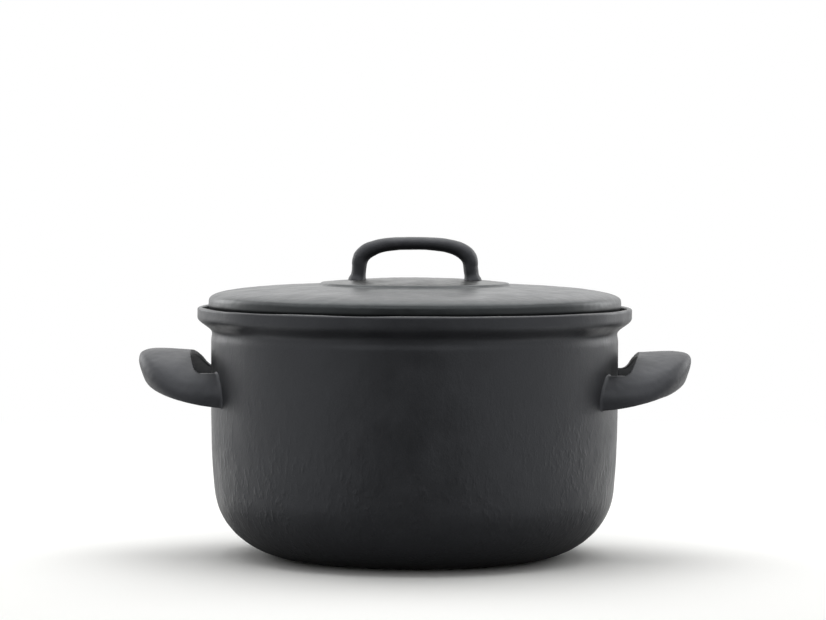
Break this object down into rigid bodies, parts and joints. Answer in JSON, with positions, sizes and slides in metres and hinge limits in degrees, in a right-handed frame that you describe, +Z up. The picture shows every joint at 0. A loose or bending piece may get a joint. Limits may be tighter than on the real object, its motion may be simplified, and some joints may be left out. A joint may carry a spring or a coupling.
{
  "type": "enamel pot",
  "caption": "Round cast-iron casserole with a stepped collar, two hood-shaped side handles and a resting domed lid with a bow handle.",
  "frame": {"origin": "centre of the flat base, on the surface that the pot stands on", "axes": "+Z up along the pot's axis, +X and -X towards the side handles, the lid's bow handle along X"},
  "size_m": [0.3294, 0.2592, 0.1898],
  "materials": {
    "enamelled_body": "matt black enamel over a rough casting",
    "enamelled_lid": "matt black enamel over a rough casting"
  },
  "bodies": {
    "root": {"pot": "enamelled_body", "lid": "enamelled_lid"}
  },
  "joints": []
}
